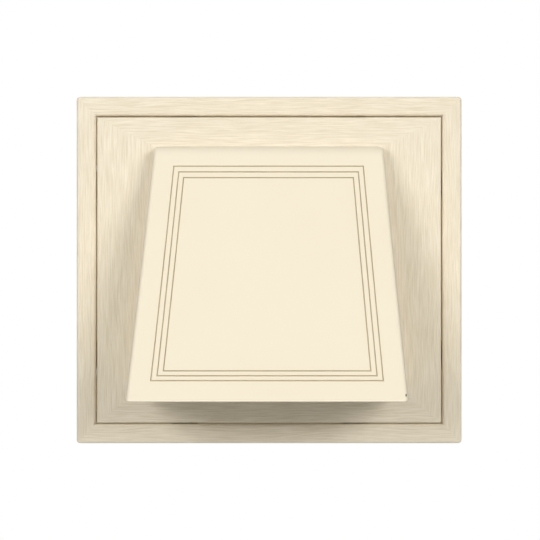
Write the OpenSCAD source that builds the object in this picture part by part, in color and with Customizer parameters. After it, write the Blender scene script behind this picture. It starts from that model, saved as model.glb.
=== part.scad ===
// Hooded exhaust vent for a sided wall: a base moulding with its hood, a clip-on trim ring, and a duct
// collar with a back-draft flap behind the hood.
// The wall lies in the plane Y = 0 with the vent in front of it, towards -Y. The origin is on the duct's
// centre line. "Out" is a distance from the wall towards the front, so Y = -out.

/* [Trim ring] */
// Width of the ring over its outer edges
ring_w = 216; // [200:1:240]
// Height of the ring over its outer edges
ring_h = 194.4; // [184:1:220]
// Width of the ring's flat face
ring_face_w = 10.8; // [9:0.1:13]
// Stand of the ring's face in front of the panel's rim
ring_proud = 0.5; // [0:0.1:2]
// Depth of the skirt that closes against the siding
ring_skirt_depth = 12; // [8:0.5:16]
// Wall thickness of the ring
ring_wall = 2; // [1.6:0.1:2.4]
// Radius of the rounded outer edge of the face
ring_outer_edge_r = 1.3; // [0.5:0.1:1.5]
// Radius of the rounded inner edge of the face
ring_inner_edge_r = 2; // [1:0.1:3]
// Radius of the ring's four outer corners
ring_corner_r = 2; // [1.5:0.1:4]
// Gap between the ring's opening and the base's box
ring_gap = 0.7; // [0.4:0.05:1]

/* [Clip tabs] */
// Width of one clip tab
tab_w = 16; // [10:1:24]
// Distance of each tab from the middle of its side, as a pair on every side
tab_offset = 48; // [30:1:62]
// Thickness of a tab
tab_t = 1.5; // [1.2:0.1:1.8]
// Height of a ratchet tooth on the box
tooth_h = 0.8; // [0.5:0.05:1]
// Pitch of the ratchet teeth
tooth_pitch = 2.5; // [2:0.1:3]
// Teeth in each ratchet
tooth_count = 5; // [4:1:5]
// Distance of the first tooth from the wall
first_tooth_out = 8; // [6:0.5:9]
// Clearance of a pawl in its ratchet
pawl_gap = 0.25; // [0.2:0.05:0.35]
// Width of a tab past its ratchet, at each end
tab_over = 1; // [0:0.1:3]

/* [Base] */
// Distance of the panel's rim from the wall
rim_out = 26; // [24:0.5:32]
// Width of the nailing flange's free strip round the box
flange_strip = 10.5; // [8:0.5:18]
// Thickness of the nailing flange
flange_t = 2.2; // [1.6:0.1:3]
// Radius of the flange's corners
flange_corner_r = 5; // [2:0.5:8]
// Wall thickness of the base
wall = 2.2; // [1.6:0.1:2.6]
// Slope of the panel's two side bevels, from the wall's plane
bevel_angle = 13; // [6:0.5:18]
// Width of the broken edge round the panel's rim
rim_edge = 0.8; // [0.3:0.1:1.5]
// Width of a nail slot
slot_w = 4.4; // [3:0.1:4.8]
// Length of a nail slot, over its round ends
slot_l = 14; // [8:1:20]
// Distance of the side slots from the middle height
side_slot_z = 55; // [30:1:66]
// Distance of the top and bottom slots from the middle width
end_slot_x = 52; // [30:1:80]

/* [Hood] */
// Height of the hood's roof over the duct's centre line
hood_top_z = 68.6; // [66:0.2:72]
// Depth of the hood's lip under the duct's centre line
hood_lip_drop = 68; // [66:0.2:72]
// Width of the hood at its roof
hood_top_w = 126.6; // [118:0.5:134]
// Width of the hood at its lip
hood_lip_w = 146.4; // [140:0.5:154]
// Stand of the hood's top edge in front of the panel's rim
hood_top_stand = 16; // [12:0.5:20]
// Stand of the hood's lip in front of the panel's rim
hood_lip_stand = 74.7; // [70:0.5:90]
// Hollow of the hood's face against a straight line from the roof to the lip
face_sag = 2.4; // [0:0.1:4]
// Radius between the face and the roof
roof_r = 9; // [6:0.5:10]
// Radius between the face and the sides
side_edge_r = 2.5; // [2:0.1:4]
// Draft of the hood's sides
side_draft = 1; // [0.2:0.1:2]
// Width of the broken edge along the lip
lip_edge = 0.8; // [0.3:0.1:1.2]

/* [Groove lines] */
// Distance of the outer groove's side from the hood's edge
groove_side_margin = 11.9; // [8:0.1:16]
// Distance of the outer groove's top from the roof
groove_top_margin = 11.4; // [8:0.1:16]
// Distance of the outer groove's bottom from the lip
groove_bottom_margin = 10.4; // [6:0.1:16]
// Pitch of the grooves at the sides
groove_side_pitch = 3; // [2:0.1:4]
// Pitch of the grooves at the top
groove_top_pitch = 3.2; // [2:0.1:4]
// Pitch of the grooves at the bottom
groove_bottom_pitch = 2.45; // [2:0.05:4]
// Width of a groove
groove_w = 0.6; // [0.3:0.05:1]
// Depth of a groove
groove_depth = 0.45; // [0.2:0.05:0.8]
// Grooves on the face
groove_count = 3; // [1:1:4]

/* [Duct collar] */
// Outer diameter of the tail pipe, which fits a 4 inch duct
pipe_d = 100; // [90:0.5:102]
// Wall thickness of the tail pipe
pipe_wall = 2; // [1.6:0.1:3]
// Length of the tail pipe behind the wall's plane
pipe_behind = 44; // [20:1:80]
// Rise of the shoulder that the duct's end stops against
stop_rise = 1.2; // [0.6:0.1:2]
// Distance of the shoulder from the wall's plane
stop_out = 1; // [0:0.5:3]
// Gap between the collar plate and the box's side walls
plate_side_gap = 4.3; // [2:0.1:6]
// Gap between the collar plate and the box's top and bottom walls
plate_end_gap = 9.5; // [4:0.1:11]
// Thickness of the collar plate
plate_t = 2; // [1.6:0.1:3]
// Distance of the plate's back from the wall's plane
plate_out = 8; // [6:0.5:9]
// Radius of the plate's corners
plate_corner_r = 6; // [2:0.5:9]
// Stand of the flap seat in front of the plate
seat_stand = 5; // [4:0.5:6]

/* [Flap] */
// Overlap of the flap over the seat's outer edge
flap_overlap = 2.2; // [1:0.1:3]
// Thickness of the flap
flap_t = 1.6; // [1.2:0.1:2]
// Gap between the closed flap and its seat
flap_gap = 0.3; // [0.2:0.05:0.5]
// Height of the hinge axis over the seat's outer edge
hinge_rise = 6; // [5.5:0.1:7]
// Distance of the hinge axis in front of the plate
hinge_stand = 4; // [3.6:0.1:4.4]
// Diameter of a hinge pin
hinge_pin_d = 4; // [3:0.1:4.4]
// Clearance round a hinge pin
hinge_fit = 0.08; // [0.03:0.01:0.1]
// Distance between the hinge ears
ear_span = 64; // [50:1:76]
// Thickness of a hinge ear
ear_t = 3; // [2:0.1:4]
// Material of an ear round its hole
ear_wall = 2.2; // [1.5:0.1:2.6]
// Gap between the flap's barrel and each ear
ear_gap = 0.4; // [0.3:0.05:0.6]
// Diameter of the barrel between the pins
barrel_d = 5.2; // [4.8:0.1:6]
// Width of the leaf between the flap and its barrel
leaf_w = 48; // [30:1:48]
// Width and height of the flap's stiffening ribs
flap_rib = 1.6; // [1:0.1:2]
// Distance of the ring-shaped rib from the flap's edge
flap_rib_inset = 4; // [3:0.5:10]

/* [Collar screws] */
// Distance of the upper screws from the plate's sides
upper_screw_inset = 18; // [14:0.5:19]
// Distance of the lower screws from the plate's sides, clear of the wider throat
lower_screw_inset = 8; // [6:0.5:8.5]
// Distance of the screws from the plate's top and bottom
screw_end_inset = 12; // [8:0.5:18]
// Diameter of a screw's shank
screw_d = 3; // [2.5:0.1:3.5]
// Length of a screw under its head
screw_l = 12; // [8:0.5:14]
// Diameter of a screw's head
screw_head_d = 7; // [6:0.1:8]
// Height of a screw's head
screw_head_h = 2.4; // [1.8:0.1:3]
// Width of a screw's cross recess
recess_w = 3.8; // [3:0.1:4.4]
// Depth of a screw's cross recess
recess_depth = 1.3; // [0.8:0.1:1.6]
// Diameter of a screw boss
boss_d = 7.4; // [6.5:0.1:9]
// Clearance round a shank in its boss
pilot_gap = 0.05; // [0.03:0.01:0.1]
// Free depth of a boss's hole past the screw's tip
pilot_end_gap = 2; // [0.5:0.5:4]
// Clearance round a shank in the plate
plate_hole_gap = 0.6; // [0.3:0.05:1]

/* [Hidden] */
$fn = 64;

plastic_colour = [0.96, 0.91, 0.79];
inner_plastic_colour = [0.93, 0.91, 0.85];
steel_colour = [0.72, 0.73, 0.74];

// A cut runs this far past the surface that it opens
cut = 1;
// The opening's sill lies this far under the lip, so that water drips clear of it
sill_drop = 0.4;

// The box fills the ring's opening, apart from the gap
box_w = ring_w - 2 * ring_face_w - 2 * ring_gap;
box_h = ring_h - 2 * ring_face_w - 2 * ring_gap;
flange_w = box_w + 2 * flange_strip;
flange_h = box_h + 2 * flange_strip;

// The hood's side view
lip_z = -hood_lip_drop;
sill_z = lip_z - sill_drop;
hood_h = hood_top_z - lip_z;
face_slope = (hood_lip_stand - hood_top_stand) / hood_h;
top_slope = face_slope - 4 * face_sag / hood_h;
top_tilt = atan(top_slope);
roof_centre_z = hood_top_z - roof_r;
roof_centre_out = rim_out + hood_top_stand + roof_r * top_slope - roof_r / cos(top_tilt);

// The duct collar and the flap
plate_w = box_w - 2 * wall - 2 * plate_side_gap;
plate_h = box_h - 2 * wall - 2 * plate_end_gap;
plate_front_out = plate_out + plate_t;
seat_out = plate_front_out + seat_stand;
flap_back_out = seat_out + flap_gap;
flap_r = pipe_d / 2 + flap_overlap;
hinge_z = pipe_d / 2 + hinge_rise;
hinge_out = plate_front_out + hinge_stand;
ear_hole_d = hinge_pin_d + 2 * hinge_fit;
ear_r = ear_hole_d / 2 + ear_wall;

// The skirt's back and the tooth that each pawl is behind
ring_front_out = rim_out + ring_proud;
ring_back_out = ring_front_out - ring_skirt_depth;
tab_gap = tooth_h + ring_gap;
pawl_out = first_tooth_out + tooth_pitch * floor(tooth_count / 2);

// The screws' places in X and Z
upper_screw_x = plate_w / 2 - upper_screw_inset;
lower_screw_x = plate_w / 2 - lower_screw_inset;
screw_z = plate_h / 2 - screw_end_inset;
screw_places = [
    [upper_screw_x, screw_z],
    [-upper_screw_x, screw_z],
    [lower_screw_x, -screw_z],
    [-lower_screw_x, -screw_z]
];

// Points of an arc round a centre, from one angle to another
function arc(centre, r, start, end, steps) = [
    for (i = [0:steps]) let(a = start + (end - start) * i / steps) centre + r * [cos(a), sin(a)]
];

// Outline of a rectangle with round corners, centred on the origin
function round_rectangle(w, h, r) = concat(
    arc([w / 2 - r, h / 2 - r], r, 0, 90, 6),
    arc([r - w / 2, h / 2 - r], r, 90, 180, 6),
    arc([r - w / 2, r - h / 2], r, 180, 270, 6),
    arc([w / 2 - r, r - h / 2], r, 270, 360, 6)
);

// Half the hood's width at a height, along the edge between its face and its side
function hood_half_w(z) = (hood_top_w + (hood_lip_w - hood_top_w) * (hood_top_z - z) / hood_h) / 2;

// Distance of the hood's face from the wall at a height
function face_out(z) = let(u = (hood_top_z - z) / hood_h)
    rim_out + hood_top_stand + (hood_lip_stand - hood_top_stand) * u - 4 * face_sag * u * (1 - u);

// Half the hood's width where its side meets the plane of the panel's rim
function hood_root_half_w(z) = hood_half_w(z) + (face_out(z) - rim_out) * tan(side_draft);

// A solid pushed from the wall towards the front, with its outline in X and Z
module pushed(from_out, to_out) {
    translate([0, -from_out, 0]) rotate([90, 0, 0]) linear_extrude(to_out - from_out) children();
}

// The hood's level slices, up the face and over the rounded roof edge, each as its height, its face and how
// far it is drawn in. The skin is set in from the outer one by inset, and its lowest edge is broken by edge.
function hood_slices(inset, low_z, edge) = let(
    face_steps = 8,
    roof_steps = 7,
    r = roof_r - inset,
    foot_z = low_z + edge,
    face_top_z = roof_centre_z + r * sin(top_tilt)
) concat(
    edge > 0 ? [[low_z, face_out(low_z) - inset / cos(top_tilt), edge]] : [],
    [for (i = [0:face_steps - 1]) let(z = foot_z + (face_top_z - foot_z) * i / face_steps)
        [z, face_out(z) - inset / cos(top_tilt), 0]],
    [for (i = [0:roof_steps]) let(a = top_tilt + (90 - top_tilt) * i / roof_steps)
        [roof_centre_z + r * sin(a), roof_centre_out + r * cos(a), 0]]
);

// One level slice of the hood, from its back left corner round the face to its back right corner
function hood_outline(slice, inset, back_out) = let(
    z = slice[0],
    out = slice[1] - slice[2],
    r = max(side_edge_r - inset, 0.4),
    over = max(0, z - (hood_top_z - inset - r)),
    half = hood_half_w(z) - inset - slice[2] - r + sqrt(max(0, r * r - over * over)),
    back_half = half + (out - back_out) * tan(side_draft),
    left = [for (p = arc([r - half, out - r], r, 180, 90, 5)) [p[0], -p[1], z]]
) concat(
    [[-back_half, -back_out, z]],
    left,
    [for (i = [len(left) - 1:-1:0]) [-left[i][0], left[i][1], z]],
    [[back_half, -back_out, z]]
);

// The hood as a solid: slices joined into a skin that flares towards the lip
module hood_form(inset, low_z, back_out, edge = 0) {
    slices = hood_slices(inset, low_z, edge);
    rings = [for (slice = slices) hood_outline(slice, inset, back_out)];
    n = len(rings[0]);
    last = len(rings) - 1;
    sides = [for (i = [0:last - 1], j = [0:n - 1]) let(
        a = i * n + j,
        b = i * n + (j + 1) % n
    ) each [[a, a + n, b + n], [a, b + n, b]]];
    bottom = [for (j = [0:n - 1]) j];
    top = [for (j = [n - 1:-1:0]) last * n + j];
    polyhedron([for (ring = rings) each ring], concat([bottom, top], sides));
}

// The box as a solid: walls, a broken edge round the rim, and four bevels up to the hood's root
module box_form(inset, back_out) {
    half_w = box_w / 2 - inset;
    half_h = box_h / 2 - inset;
    front = rim_out - inset;
    top_x = hood_root_half_w(hood_top_z);
    lip_x = hood_root_half_w(lip_z);
    top_out = front + (half_w - top_x) * tan(bevel_angle);
    lip_out = front + (half_w - lip_x) * tan(bevel_angle);
    edge_x = half_w - rim_edge;
    edge_out = front + rim_edge * tan(bevel_angle);
    edge_top_z = half_h - (half_h - hood_top_z) * (edge_out - front) / (top_out - front);
    edge_low_z = -half_h + (half_h + lip_z) * (edge_out - front) / (lip_out - front);
    // Each level's lower and upper half width, its lowest and highest point, and how far out those two lie
    levels = [
        [half_w, half_w, -half_h, half_h, back_out, back_out],
        [half_w, half_w, -half_h, half_h, front - rim_edge, front - rim_edge],
        [edge_x, edge_x, edge_low_z, edge_top_z, edge_out, edge_out],
        [lip_x, top_x, lip_z, hood_top_z, lip_out, top_out]
    ];
    last = len(levels) - 1;
    polyhedron(
        [for (l = levels) each [
            [-l[0], -l[4], l[2]],
            [l[0], -l[4], l[2]],
            [l[1], -l[5], l[3]],
            [-l[1], -l[5], l[3]]
        ]],
        concat(
            [[0, 1, 2, 3]],
            [for (i = [0:last - 1], j = [0:3]) let(
                a = 4 * i + j,
                b = 4 * i + (j + 1) % 4
            ) [a, a + 4, b + 4, b]],
            [[4 * last, 4 * last + 3, 4 * last + 2, 4 * last + 1]]
        )
    );
}

// One groove line's outline, seen from the front
function groove_outline(index, inset) = let(
    top = hood_top_z - groove_top_margin - index * groove_top_pitch - inset,
    bottom = lip_z + groove_bottom_margin + index * groove_bottom_pitch + inset,
    margin = groove_side_margin + index * groove_side_pitch + inset,
    top_x = hood_half_w(top) - margin,
    bottom_x = hood_half_w(bottom) - margin
) [[-bottom_x, bottom], [bottom_x, bottom], [top_x, top], [-top_x, top]];

// The engraved lines as a cutter that follows the face
module groove_lines() {
    difference() {
        pushed(rim_out + hood_top_stand, rim_out + hood_lip_stand + 2 * cut) {
            for (index = [0:groove_count - 1]) difference() {
                polygon(groove_outline(index, 0));
                polygon(groove_outline(index, groove_w));
            }
        }
        hood_form(groove_depth, sill_z - cut, rim_out);
    }
}

// Nail slot with round ends, through the flange
module nail_slot(x, z, turn) {
    reach = (slot_l - slot_w) / 2;
    translate([x, 0, z]) rotate([0, turn, 0]) pushed(-cut, flange_t + cut) {
        square([2 * reach, slot_w], center = true);
        for (side = [-1, 1]) translate([side * reach, 0]) circle(d = slot_w);
    }
}

// The eight nail slots, in the middle of the flange's free strip
module nail_slots() {
    side_x = (box_w + flange_w) / 4;
    end_z = (box_h + flange_h) / 4;
    for (x = [-1, 1], z = [-1, 1]) {
        nail_slot(x * side_x, z * side_slot_z, 90);
        nail_slot(x * end_slot_x, z * end_z, 0);
    }
}

// Repeats a tab or a ratchet, drawn for the top side, at its eight places round the box
module round_the_box() {
    for (place = [-1, 1], turn = [0, 90, 180, 270]) {
        rotate([0, turn, 0]) translate([place * tab_offset, 0, turn % 180 == 0 ? box_h / 2 : box_w / 2])
            children();
    }
}

// A profile in out and in distance from the box, drawn out along X over a width
module across(width) {
    rotate([90, 0, 90]) linear_extrude(width, center = true) children();
}

// Saw teeth that let the ring be pushed on and hold it there
module ratchet() {
    across(tab_w - 2 * tab_over) polygon(concat(
        [[-first_tooth_out - tooth_count * tooth_pitch, -wall / 2], [-first_tooth_out, -wall / 2]],
        [for (i = [0:tooth_count - 1]) each [
            [-first_tooth_out - i * tooth_pitch, tooth_h],
            [-first_tooth_out - (i + 1) * tooth_pitch, 0]
        ]]
    ));
}

// A tab with the pawl at its end
module clip_tab() {
    front = ring_front_out - ring_wall / 2;
    tip = pawl_out - pawl_gap;
    across(tab_w) polygon([
        [-front, tab_gap], [-front, tab_gap + tab_t],
        [-tip + tooth_pitch, tab_gap + tab_t], [-tip + tooth_pitch, tab_gap],
        [-tip, pawl_gap], [-tip, tab_gap]
    ]);
}

module bosses() {
    for (p = screw_places) translate([p[0], 0, p[1]]) pushed(plate_front_out, rim_out + hood_top_stand)
        circle(d = boss_d);
}

// Webs that tie the throat to the box's walls, behind the panel
module webs() {
    for (side = [-1, 1]) pushed(plate_front_out + wall, rim_out + hood_top_stand) {
        translate([0, side * box_h / 8]) square([box_w, wall], center = true);
        translate([side * box_w / 6, 0]) square([wall, box_h], center = true);
    }
}

module pilot_holes() {
    end_out = plate_out + screw_l + pilot_end_gap;
    for (p = screw_places) translate([p[0], 0, p[1]]) pushed(plate_front_out - cut, end_out)
        circle(d = screw_d + 2 * pilot_gap);
}

// The base moulding: flange, box, raised panel, hood and throat in one piece
module hood_body() color(plastic_colour) {
    difference() {
        union() {
            pushed(0, flange_t) polygon(round_rectangle(flange_w, flange_h, flange_corner_r));
            box_form(0, 0);
            hood_form(0, lip_z, rim_out, lip_edge);
            round_the_box() ratchet();
        }
        difference() {
            box_form(wall, -cut);
            hood_form(0, sill_z - wall, plate_front_out);
            bosses();
            webs();
        }
        hood_form(wall, sill_z, -2 * cut);
        pilot_holes();
        groove_lines();
        nail_slots();
    }
}

// Section of the ring, as distance in from the outer edge and distance from the wall
function ring_section() = concat(
    [[0, ring_back_out]],
    arc([ring_outer_edge_r, ring_front_out - ring_outer_edge_r], ring_outer_edge_r, 180, 90, 4),
    arc([ring_face_w - ring_inner_edge_r, ring_front_out - ring_inner_edge_r], ring_inner_edge_r, 90, 0, 5),
    [
        [ring_face_w, ring_front_out - 2 * ring_wall],
        [ring_face_w - ring_wall, ring_front_out - 2 * ring_wall],
        [ring_face_w - ring_wall, ring_front_out - ring_wall],
        [ring_wall, ring_front_out - ring_wall],
        [ring_wall, ring_back_out]
    ]
);

// The ring's top side between its two mitres, for a ring of the given size
module ring_side(width, height) {
    reach = ring_face_w + cut;
    intersection() {
        across(width) polygon([for (p = ring_section()) [-p[1], height / 2 - p[0]]]);
        pushed(0, ring_front_out + cut) polygon([
            [-width / 2 - cut, height / 2 + cut], [width / 2 + cut, height / 2 + cut],
            [width / 2 - reach, height / 2 - reach], [reach - width / 2, height / 2 - reach]
        ]);
    }
}

// The clip-on ring: four mitred sides with rounded outer corners, and eight tabs
module trim_ring() color(plastic_colour) {
    intersection() {
        for (turn = [0, 180]) {
            rotate([0, turn, 0]) ring_side(ring_w, ring_h);
            rotate([0, turn + 90, 0]) ring_side(ring_h, ring_w);
        }
        pushed(0, ring_front_out + cut) polygon(round_rectangle(ring_w, ring_h, ring_corner_r));
    }
    round_the_box() clip_tab();
}

// Hinge ear on the collar plate, with a round end about the hinge axis
module hinge_ear() {
    rotate([90, 0, 90]) linear_extrude(ear_t) polygon(concat(
        [[-plate_front_out, hinge_z + ear_r], [-plate_front_out, hinge_z - ear_r]],
        arc([-hinge_out, hinge_z], ear_r, 270, 90, 12)
    ));
}

// Gussets between the tail pipe's shoulder and the back of the plate
module gussets() {
    reach = plate_out - stop_out;
    for (turn = [22.5:45:337.5]) rotate([0, turn, 0]) translate([pipe_d / 2 - pipe_wall / 2, 0, 0])
        rotate([0, 0, 180]) mirror([1, 0, 0]) linear_extrude(pipe_wall, center = true)
            polygon([[0, plate_out], [reach + pipe_wall / 2, plate_out], [0, plate_out - reach]]);
}

// Collar plate with the tail pipe and its shoulder behind it, and the flap's seat and hinge ears in front
module duct_collar() color(inner_plastic_colour) {
    lead = 1;
    difference() {
        union() {
            pushed(plate_out, plate_front_out) polygon(round_rectangle(plate_w, plate_h, plate_corner_r));
            pushed(lead - pipe_behind, seat_out) circle(d = pipe_d, $fn = 128);
            translate([0, pipe_behind, 0]) rotate([90, 0, 0])
                cylinder(h = lead, d1 = pipe_d - lead, d2 = pipe_d, $fn = 128);
            pushed(stop_out, plate_out) circle(d = pipe_d + 2 * stop_rise, $fn = 128);
            gussets();
            translate([ear_span / 2, 0, 0]) hinge_ear();
            translate([-ear_span / 2 - ear_t, 0, 0]) hinge_ear();
        }
        pushed(-pipe_behind - cut, seat_out + cut) circle(d = pipe_d - 2 * pipe_wall, $fn = 128);
        translate([0, -hinge_out, hinge_z]) rotate([0, 90, 0])
            cylinder(h = ear_span + 2 * ear_t + 2 * cut, d = ear_hole_d, center = true);
        for (p = screw_places) translate([p[0], 0, p[1]]) pushed(plate_out - cut, plate_front_out + cut)
            circle(d = screw_d + 2 * plate_hole_gap);
    }
}

// Round flap on a leaf and barrel, with its two pins and its stiffening ribs in one moulding
module damper_flap() color(inner_plastic_colour) {
    front = flap_back_out + flap_t;
    rib_ring_r = flap_r - flap_rib_inset;
    leaf_foot_z = flap_r * 0.7;
    pushed(flap_back_out, front) {
        circle(r = flap_r, $fn = 128);
        translate([-leaf_w / 2, leaf_foot_z]) square([leaf_w, hinge_z - leaf_foot_z]);
    }
    pushed(front - cut, front + flap_rib) {
        difference() {
            circle(r = rib_ring_r, $fn = 128);
            circle(r = rib_ring_r - flap_rib, $fn = 128);
        }
        for (side = [-1, 1]) translate([side * leaf_w / 4, 0])
            square([flap_rib, 1.8 * rib_ring_r], center = true);
    }
    translate([0, -hinge_out, hinge_z]) rotate([0, 90, 0]) {
        cylinder(h = ear_span - 2 * ear_gap, d = barrel_d, center = true);
        cylinder(h = ear_span + 2 * ear_t, d = hinge_pin_d, center = true);
    }
}

// Pan-head screw that points to the front, with its head's underside at the origin
module screw() {
    tip_r = screw_d / 5;
    shank_r = screw_d / 2;
    head_r = screw_head_d / 2;
    edge_r = screw_head_h / 2;
    recess_slot = recess_w / 4;
    difference() {
        rotate([90, 0, 0]) rotate_extrude() polygon(concat(
            [[0, screw_l], [tip_r, screw_l], [shank_r, screw_l - screw_d], [shank_r, 0], [head_r, 0]],
            arc([head_r - edge_r, edge_r - screw_head_h], edge_r, 0, -90, 6),
            [[0, -screw_head_h]]
        ));
        for (turn = [0, 90]) rotate([0, turn, 0]) pushed(-screw_head_h - cut, recess_depth - screw_head_h)
            square([recess_w, recess_slot], center = true);
    }
}

// The four collar screws
module collar_screws() color(steel_colour) {
    for (p = screw_places) translate([p[0], -plate_out, p[1]]) screw();
}

hood_body();
trim_ring();
duct_collar();
damper_flap();
collar_screws();
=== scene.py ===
# Hooded exhaust vent, dressed and lit for a picture from the front.
# Sizes are in millimetres until a mesh is made. "Out" is a distance from the wall towards the front.

import math

import bmesh
import bpy
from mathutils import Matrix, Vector


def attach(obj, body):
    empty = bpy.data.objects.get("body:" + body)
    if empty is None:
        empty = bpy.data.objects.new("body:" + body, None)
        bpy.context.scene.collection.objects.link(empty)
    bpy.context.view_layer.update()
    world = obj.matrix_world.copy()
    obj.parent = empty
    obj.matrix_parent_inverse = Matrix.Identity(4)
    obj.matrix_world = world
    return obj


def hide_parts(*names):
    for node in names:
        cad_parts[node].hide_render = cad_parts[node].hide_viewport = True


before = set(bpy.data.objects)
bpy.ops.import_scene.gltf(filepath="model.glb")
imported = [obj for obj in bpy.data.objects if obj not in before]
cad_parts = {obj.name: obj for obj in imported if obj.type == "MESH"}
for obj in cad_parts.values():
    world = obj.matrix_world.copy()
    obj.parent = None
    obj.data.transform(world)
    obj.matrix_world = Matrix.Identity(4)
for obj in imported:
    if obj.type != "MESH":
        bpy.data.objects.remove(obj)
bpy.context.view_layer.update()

# Base moulding
# One injection moulding in cream polypropylene: the nailing flange at the wall, the box, the raised panel
# with its four bevels, the hood and the throat behind it. The mould is etched with a wood grain on the
# bevels and polished to a satin on the hood.

MM = 0.001
BOX_W = 193.0
BOX_H = 171.4
RIM_OUT = 26.0
RIM_EDGE = 0.8
BEVEL_ANGLE = math.radians(13)
WALL = 2.2
FLANGE_W = 214.0
FLANGE_H = 192.4
FLANGE_T = 2.2
FLANGE_CORNER_R = 5.0
PLATE_FRONT_OUT = 10.0

HOOD_TOP_Z = 68.6
LIP_Z = -68.0
SILL_Z = -68.4
HOOD_TOP_W = 126.6
HOOD_LIP_W = 146.4
HOOD_TOP_STAND = 16.0
HOOD_LIP_STAND = 74.7
FACE_SAG = 2.4
ROOF_R = 9.0
SIDE_EDGE_R = 2.5
SIDE_DRAFT = math.radians(1)
LIP_EDGE = 1.25
HOOD_H = HOOD_TOP_Z - LIP_Z


def solid(name, points, faces):
    """A closed mesh from points given as x, out and z."""
    mesh = bpy.data.meshes.new(name)
    mesh.from_pydata([(x * MM, -out * MM, z * MM) for x, out, z in points], [], faces)
    shape = bmesh.new()
    shape.from_mesh(mesh)
    bmesh.ops.remove_doubles(shape, verts=shape.verts, dist=0.002 * MM)
    bmesh.ops.recalc_face_normals(shape, faces=shape.faces)
    shape.to_mesh(mesh)
    shape.free()
    piece = bpy.data.objects.new(name, mesh)
    bpy.context.collection.objects.link(piece)
    return piece


def bridged(name, rings, closed=False):
    """A solid through like rings of points, with both ends capped, or with its last ring joined to its first."""
    count = len(rings[0])
    spans = len(rings) if closed else len(rings) - 1
    faces = []
    for i in range(spans):
        low = i * count
        high = (i + 1) % len(rings) * count
        for j in range(count):
            k = (j + 1) % count
            faces.append((low + j, low + k, high + k, high + j))
    if not closed:
        faces.append(tuple(range(count)))
        faces.append(tuple(range(len(rings) * count - 1, (len(rings) - 1) * count - 1, -1)))
    return solid(name, [point for ring in rings for point in ring], faces)


def pushed(name, outline, from_out, to_out):
    """A solid between two distances from the wall, with its outline in x and z."""
    return bridged(name, [[(x, out, z) for x, z in outline] for out in (from_out, to_out)])


def arc(x, z, r, start, end, steps):
    """Points of an arc round a centre, between two angles in degrees."""
    angles = [math.radians(start + (end - start) * i / steps) for i in range(steps + 1)]
    return [(x + r * math.cos(a), z + r * math.sin(a)) for a in angles]


def round_rectangle(w, h, r, steps=10):
    """Outline of a rectangle with round corners, centred on the duct."""
    x = w / 2 - r
    z = h / 2 - r
    corners = [(x, z, 0), (-x, z, 90), (-x, -z, 180), (x, -z, 270)]
    return [point for cx, cz, turn in corners for point in arc(cx, cz, r, turn, turn + 90, steps)]


def baked(piece):
    """Turns what the piece's modifiers give into its own plain mesh."""
    evaluated = piece.evaluated_get(bpy.context.evaluated_depsgraph_get())
    mesh = bpy.data.meshes.new_from_object(evaluated)
    piece.modifiers.clear()
    piece.data = mesh
    return piece


def carved(piece, operation, *tools):
    """Joins other solids to a piece, or cuts them from it, and uses them up."""
    for tool in tools:
        step = piece.modifiers.new(tool.name, "BOOLEAN")
        step.operation = operation
        step.solver = "MANIFOLD"
        step.object = tool
    baked(piece)
    for tool in tools:
        bpy.data.objects.remove(tool)
    return piece


def hood_half_w(z):
    return (HOOD_TOP_W + (HOOD_LIP_W - HOOD_TOP_W) * (HOOD_TOP_Z - z) / HOOD_H) / 2


def face_out(z):
    down = (HOOD_TOP_Z - z) / HOOD_H
    straight = RIM_OUT + HOOD_TOP_STAND + (HOOD_LIP_STAND - HOOD_TOP_STAND) * down
    return straight - 4 * FACE_SAG * down * (1 - down)


def hood_root_half_w(z):
    return hood_half_w(z) + (face_out(z) - RIM_OUT) * math.tan(SIDE_DRAFT)


TOP_SLOPE = (HOOD_LIP_STAND - HOOD_TOP_STAND - 4 * FACE_SAG) / HOOD_H
TOP_TILT = math.atan(TOP_SLOPE)
ROOF_Z = HOOD_TOP_Z - ROOF_R
ROOF_OUT = RIM_OUT + HOOD_TOP_STAND + ROOF_R * TOP_SLOPE - ROOF_R / math.cos(TOP_TILT)


def panel_box(name, inset, back_out):
    """The box with its rounded rim and the four bevels up to the hood's root, set in by inset."""
    half_w = BOX_W / 2 - inset
    half_h = BOX_H / 2 - inset
    front = RIM_OUT - inset
    top_x = hood_root_half_w(HOOD_TOP_Z)
    lip_x = hood_root_half_w(LIP_Z)
    top_out = front + (half_w - top_x) * math.tan(BEVEL_ANGLE)
    lip_out = front + (half_w - lip_x) * math.tan(BEVEL_ANGLE)
    rise = RIM_EDGE * math.tan(BEVEL_ANGLE)
    top_in = (half_h - HOOD_TOP_Z) * rise / (top_out - front)
    low_in = (half_h + LIP_Z) * rise / (lip_out - front)
    levels = [(half_w, half_w, -half_h, half_h, back_out, back_out)]
    for i in range(7):
        t = i / 6
        x = half_w - RIM_EDGE * t * t
        out = (1 - t) ** 2 * (front - RIM_EDGE) + 2 * t * (1 - t) * front + t * t * (front + rise)
        levels.append((x, x, low_in * t * t - half_h, half_h - top_in * t * t, out, out))
    levels.append((lip_x, top_x, LIP_Z, HOOD_TOP_Z, lip_out, top_out))
    rings = [
        [(-low_x, low, low_z), (low_x, low, low_z), (high_x, high, high_z), (-high_x, high, high_z)]
        for low_x, high_x, low_z, high_z, low, high in levels
    ]
    return bridged(name, rings)


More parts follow.
